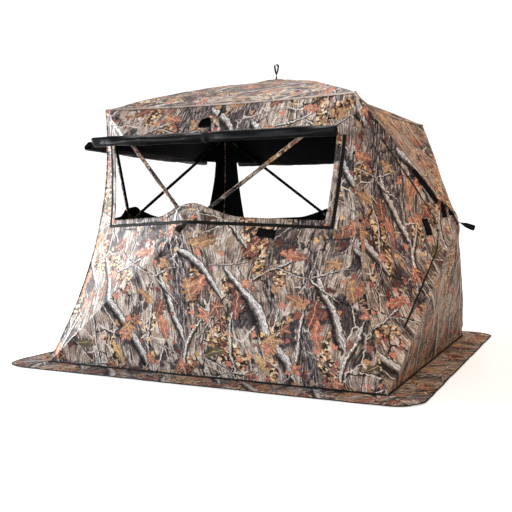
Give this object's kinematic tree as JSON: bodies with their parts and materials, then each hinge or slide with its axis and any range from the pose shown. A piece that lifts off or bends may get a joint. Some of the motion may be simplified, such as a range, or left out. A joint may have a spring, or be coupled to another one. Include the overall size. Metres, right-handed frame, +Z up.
{
  "type": "pop up ground blind",
  "caption": "Square pop-up hunting ground blind: camouflage cloth pushed out by sprung hubs, with open windows, a zipped side door and a ground skirt.",
  "frame": {"origin": "on the ground under the middle of the blind", "axes": "+Z up, front window wall towards -Y, door wall towards +X"},
  "size_m": [2.341, 2.341, 1.711],
  "materials": {
    "camo_cloth": "printed woven polyester, matt, black inside",
    "skirt_cloth": "printed woven polyester with a bound edge",
    "black_lining": "black coated lining, slightly glossy",
    "corner_boot": "stitched black pad",
    "webbing": "black ribbed webbing",
    "zip_tape": "black coil zip on tape",
    "nylon": "moulded glass-filled nylon",
    "fibreglass": "pultruded rod in a cloth sleeve",
    "zip_metal": "die-cast slider"
  },
  "bodies": {
    "root": {"wall_front": "camo_cloth", "wall_right": "camo_cloth", "wall_back": "camo_cloth", "wall_left": "camo_cloth", "roof": "camo_cloth", "patch_front": "webbing", "skirt_front": "skirt_cloth", "skirt_right": "skirt_cloth", "skirt_back": "skirt_cloth", "skirt_left": "skirt_cloth", "boot_lower_front_left": "corner_boot", "boot_upper_front_left": "corner_boot", "boot_lower_front_right": "corner_boot", "boot_upper_front_right": "corner_boot", "boot_lower_back_right": "corner_boot", "boot_upper_back_right": "corner_boot", "boot_lower_back_left": "corner_boot", "boot_upper_back_left": "corner_boot"},
    "front_hub": {"hub_front": "nylon", "cap_front": "nylon"},
    "front_pole_lower_left": {"pole_front_lower_left": "fibreglass"},
    "front_pole_lower_right": {"pole_front_lower_right": "fibreglass"},
    "front_pole_upper_right": {"pole_front_upper_right": "fibreglass"},
    "front_pole_upper_left": {"pole_front_upper_left": "fibreglass"},
    "front_pull_tab": {"pull_tab_front": "webbing"},
    "right_hub": {"hub_right": "nylon", "cap_right": "nylon"},
    "right_pole_lower_left": {"pole_right_lower_left": "fibreglass"},
    "right_pole_lower_right": {"pole_right_lower_right": "fibreglass"},
    "right_pole_upper_right": {"pole_right_upper_right": "fibreglass"},
    "right_pole_upper_left": {"pole_right_upper_left": "fibreglass"},
    "right_pull_tab": {"pull_tab_right": "webbing"},
    "back_hub": {"hub_back": "nylon", "cap_back": "nylon"},
    "back_pole_lower_left": {"pole_back_lower_left": "fibreglass"},
    "back_pole_lower_right": {"pole_back_lower_right": "fibreglass"},
    "back_pole_upper_right": {"pole_back_upper_right": "fibreglass"},
    "back_pole_upper_left": {"pole_back_upper_left": "fibreglass"},
    "back_pull_tab": {"pull_tab_back": "webbing"},
    "left_hub": {"hub_left": "nylon", "cap_left": "nylon"},
    "left_pole_lower_left": {"pole_left_lower_left": "fibreglass"},
    "left_pole_lower_right": {"pole_left_lower_right": "fibreglass"},
    "left_pole_upper_right": {"pole_left_upper_right": "fibreglass"},
    "left_pole_upper_left": {"pole_left_upper_left": "fibreglass"},
    "left_pull_tab": {"pull_tab_left": "webbing"},
    "roof_hub": {"hub_roof": "nylon", "cap_roof": "nylon"},
    "roof_pole_front_left": {"pole_roof_front_left": "fibreglass"},
    "roof_pole_front_right": {"pole_roof_front_right": "fibreglass"},
    "roof_pole_back_right": {"pole_roof_back_right": "fibreglass"},
    "roof_pole_back_left": {"pole_roof_back_left": "fibreglass"},
    "roof_pull_tab": {"pull_tab_roof": "webbing"},
    "front_window_roll": {"window_roll_front": "black_lining", "roll_tie_front": "webbing"},
    "back_window_roll": {"window_roll_back": "black_lining"},
    "left_window_roll": {"window_roll_left": "black_lining"},
    "door_frame": {"door_zip": "zip_tape"},
    "door": {"door_panel": "camo_cloth"},
    "zip_slider": {"zip_slider": "zip_metal"}
  },
  "joints": [
    {"name": "front_hub_pop", "type": "slide", "parent": "root", "child": "front_hub", "axis": [0, 0.9866, -0.1632], "range_m": [0, 0.484], "deforming": ["wall_front", "patch_front"]},
    {"name": "front_pole_lower_left_turn", "type": "hinge", "parent": "front_hub", "child": "front_pole_lower_left", "pos_m": [-0.02289, -1.05226, 0.74818], "axis": [-0.6141, 0.1288, 0.7786], "range_deg": [0, 23.33]},
    {"name": "front_pole_lower_right_turn", "type": "hinge", "parent": "front_hub", "child": "front_pole_lower_right", "pos_m": [0.02289, -1.05226, 0.74818], "axis": [-0.6141, -0.1288, -0.7786], "range_deg": [0, 23.33]},
    {"name": "front_pole_upper_right_turn", "type": "hinge", "parent": "front_hub", "child": "front_pole_upper_right", "pos_m": [0.02124, -1.0448, 0.78502], "axis": [0.681, -0.1195, -0.7224], "range_deg": [0, 28.52]},
    {"name": "front_pole_upper_left_turn", "type": "hinge", "parent": "front_hub", "child": "front_pole_upper_left", "pos_m": [-0.02124, -1.0448, 0.78502], "axis": [0.681, 0.1195, 0.7224], "range_deg": [0, 28.52]},
    {"name": "front_pull_tab_swing", "type": "hinge", "parent": "front_hub", "child": "front_pull_tab", "pos_m": [0, -1.08465, 0.76955], "axis": [1, 0, 0], "range_deg": [-70, 50]},
    {"name": "right_hub_pop", "type": "slide", "parent": "root", "child": "right_hub", "axis": [-0.9866, 0, -0.1632], "range_m": [0, 0.484], "deforming": ["wall_right"]},
    {"name": "right_pole_lower_left_turn", "type": "hinge", "parent": "right_hub", "child": "right_pole_lower_left", "pos_m": [1.05226, -0.02289, 0.74818], "axis": [-0.1288, -0.6141, 0.7786], "range_deg": [0, 23.33]},
    {"name": "right_pole_lower_right_turn", "type": "hinge", "parent": "right_hub", "child": "right_pole_lower_right", "pos_m": [1.05226, 0.02289, 0.74818], "axis": [0.1288, -0.6141, -0.7786], "range_deg": [0, 23.33]},
    {"name": "right_pole_upper_right_turn", "type": "hinge", "parent": "right_hub", "child": "right_pole_upper_right", "pos_m": [1.0448, 0.02124, 0.78502], "axis": [0.1195, 0.681, -0.7224], "range_deg": [0, 28.52]},
    {"name": "right_pole_upper_left_turn", "type": "hinge", "parent": "right_hub", "child": "right_pole_upper_left", "pos_m": [1.0448, -0.02124, 0.78502], "axis": [-0.1195, 0.681, 0.7224], "range_deg": [0, 28.52]},
    {"name": "right_pull_tab_swing", "type": "hinge", "parent": "right_hub", "child": "right_pull_tab", "pos_m": [1.08465, 0, 0.76955], "axis": [0, 1, 0], "range_deg": [-70, 50]},
    {"name": "back_hub_pop", "type": "slide", "parent": "root", "child": "back_hub", "axis": [0, -0.9866, -0.1632], "range_m": [0, 0.484], "deforming": ["wall_back"]},
    {"name": "back_pole_lower_left_turn", "type": "hinge", "parent": "back_hub", "child": "back_pole_lower_left", "pos_m": [0.02289, 1.05226, 0.74818], "axis": [0.6141, -0.1288, 0.7786], "range_deg": [0, 23.33]},
    {"name": "back_pole_lower_right_turn", "type": "hinge", "parent": "back_hub", "child": "back_pole_lower_right", "pos_m": [-0.02289, 1.05226, 0.74818], "axis": [0.6141, 0.1288, -0.7786], "range_deg": [0, 23.33]},
    {"name": "back_pole_upper_right_turn", "type": "hinge", "parent": "back_hub", "child": "back_pole_upper_right", "pos_m": [-0.02124, 1.0448, 0.78502], "axis": [-0.681, 0.1195, -0.7224], "range_deg": [0, 28.52]},
    {"name": "back_pole_upper_left_turn", "type": "hinge", "parent": "back_hub", "child": "back_pole_upper_left", "pos_m": [0.02124, 1.0448, 0.78502], "axis": [-0.681, -0.1195, 0.7224], "range_deg": [0, 28.52]},
    {"name": "back_pull_tab_swing", "type": "hinge", "parent": "back_hub", "child": "back_pull_tab", "pos_m": [0, 1.08465, 0.76955], "axis": [-1, 0, 0], "range_deg": [-70, 50]},
    {"name": "left_hub_pop", "type": "slide", "parent": "root", "child": "left_hub", "axis": [0.9866, 0, -0.1632], "range_m": [0, 0.484], "deforming": ["wall_left"]},
    {"name": "left_pole_lower_left_turn", "type": "hinge", "parent": "left_hub", "child": "left_pole_lower_left", "pos_m": [-1.05226, 0.02289, 0.74818], "axis": [0.1288, 0.6141, 0.7786], "range_deg": [0, 23.33]},
    {"name": "left_pole_lower_right_turn", "type": "hinge", "parent": "left_hub", "child": "left_pole_lower_right", "pos_m": [-1.05226, -0.02289, 0.74818], "axis": [-0.1288, 0.6141, -0.7786], "range_deg": [0, 23.33]},
    {"name": "left_pole_upper_right_turn", "type": "hinge", "parent": "left_hub", "child": "left_pole_upper_right", "pos_m": [-1.0448, -0.02124, 0.78502], "axis": [-0.1195, -0.681, -0.7224], "range_deg": [0, 28.52]},
    {"name": "left_pole_upper_left_turn", "type": "hinge", "parent": "left_hub", "child": "left_pole_upper_left", "pos_m": [-1.0448, 0.02124, 0.78502], "axis": [0.1195, -0.681, 0.7224], "range_deg": [0, 28.52]},
    {"name": "left_pull_tab_swing", "type": "hinge", "parent": "left_hub", "child": "left_pull_tab", "pos_m": [-1.08465, 0, 0.76955], "axis": [0, -1, 0], "range_deg": [-70, 50]},
    {"name": "roof_hub_pop", "type": "slide", "parent": "root", "child": "roof_hub", "axis": [0, 0, -1], "range_m": [0, 0.427], "deforming": ["roof"]},
    {"name": "roof_pole_front_left_turn", "type": "hinge", "parent": "roof_hub", "child": "roof_pole_front_left", "pos_m": [-0.02051, -0.02051, 1.58373], "axis": [-0.7071, 0.7071, 0], "range_deg": [0, 24.41]},
    {"name": "roof_pole_front_right_turn", "type": "hinge", "parent": "roof_hub", "child": "roof_pole_front_right", "pos_m": [0.02051, -0.02051, 1.58373], "axis": [-0.7071, -0.7071, 0], "range_deg": [0, 24.41]},
    {"name": "roof_pole_back_right_turn", "type": "hinge", "parent": "roof_hub", "child": "roof_pole_back_right", "pos_m": [0.02051, 0.02051, 1.58373], "axis": [0.7071, -0.7071, 0], "range_deg": [0, 24.41]},
    {"name": "roof_pole_back_left_turn", "type": "hinge", "parent": "roof_hub", "child": "roof_pole_back_left", "pos_m": [-0.02051, 0.02051, 1.58373], "axis": [0.7071, 0.7071, 0], "range_deg": [0, 24.41]},
    {"name": "roof_pull_tab_swing", "type": "hinge", "parent": "roof_hub", "child": "roof_pull_tab", "pos_m": [0, 0, 1.62], "axis": [0, -1, 0], "range_deg": [-80, 80]},
    {"name": "front_window_roll_shift", "type": "slide", "parent": "root", "child": "front_window_roll", "axis": [0, 0.9866, -0.1632], "range_m": [0, 0.1499]},
    {"name": "back_window_roll_shift", "type": "slide", "parent": "root", "child": "back_window_roll", "axis": [0, -0.9866, -0.1632], "range_m": [0, 0.1499]},
    {"name": "left_window_roll_shift", "type": "slide", "parent": "root", "child": "left_window_roll", "axis": [0.9866, 0, -0.1632], "range_m": [0, 0.1499]},
    {"name": "door_frame_fold", "type": "hinge", "parent": "root", "child": "door_frame", "pos_m": [0.835, -0.835, 0.695], "axis": [-0.1611, 0.1611, 0.9737], "range_deg": [0, 33]},
    {"name": "door_swing", "type": "hinge", "parent": "door_frame", "child": "door", "pos_m": [0.87361, -0.62481, 0.73148], "axis": [0.1621, -0.1391, -0.9769], "range_deg": [0, 100]},
    {"name": "zip_slider_slide", "type": "slide", "parent": "door_frame", "child": "zip_slider", "axis": [0.1042, 0.7717, 0.6274], "range_m": [0, 0.41]}
  ],
  "couplings": [
    {"joint": "front_pole_lower_left_turn", "follows": "front_hub_pop", "rad_per_m": 0.83936},
    {"joint": "front_pole_lower_right_turn", "follows": "front_hub_pop", "rad_per_m": 0.83936},
    {"joint": "front_pole_upper_right_turn", "follows": "front_hub_pop", "rad_per_m": 1.0264},
    {"joint": "front_pole_upper_left_turn", "follows": "front_hub_pop", "rad_per_m": 1.0264},
    {"joint": "right_pole_lower_left_turn", "follows": "right_hub_pop", "rad_per_m": 0.83936},
    {"joint": "right_pole_lower_right_turn", "follows": "right_hub_pop", "rad_per_m": 0.83936},
    {"joint": "right_pole_upper_right_turn", "follows": "right_hub_pop", "rad_per_m": 1.0264},
    {"joint": "right_pole_upper_left_turn", "follows": "right_hub_pop", "rad_per_m": 1.0264},
    {"joint": "back_pole_lower_left_turn", "follows": "back_hub_pop", "rad_per_m": 0.83936},
    {"joint": "back_pole_lower_right_turn", "follows": "back_hub_pop", "rad_per_m": 0.83936},
    {"joint": "back_pole_upper_right_turn", "follows": "back_hub_pop", "rad_per_m": 1.0264},
    {"joint": "back_pole_upper_left_turn", "follows": "back_hub_pop", "rad_per_m": 1.0264},
    {"joint": "left_pole_lower_left_turn", "follows": "left_hub_pop", "rad_per_m": 0.83936},
    {"joint": "left_pole_lower_right_turn", "follows": "left_hub_pop", "rad_per_m": 0.83936},
    {"joint": "left_pole_upper_right_turn", "follows": "left_hub_pop", "rad_per_m": 1.0264},
    {"joint": "left_pole_upper_left_turn", "follows": "left_hub_pop", "rad_per_m": 1.0264},
    {"joint": "roof_pole_front_left_turn", "follows": "roof_hub_pop", "rad_per_m": 0.99556},
    {"joint": "roof_pole_front_right_turn", "follows": "roof_hub_pop", "rad_per_m": 0.99556},
    {"joint": "roof_pole_back_right_turn", "follows": "roof_hub_pop", "rad_per_m": 0.99556},
    {"joint": "roof_pole_back_left_turn", "follows": "roof_hub_pop", "rad_per_m": 0.99556},
    {"joint": "front_window_roll_shift", "follows": "front_hub_pop", "ratio": 0.3097},
    {"joint": "back_window_roll_shift", "follows": "back_hub_pop", "ratio": 0.3097},
    {"joint": "left_window_roll_shift", "follows": "left_hub_pop", "ratio": 0.3097},
    {"joint": "door_frame_fold", "follows": "right_hub_pop", "rad_per_m": 1.1879}
  ]
}
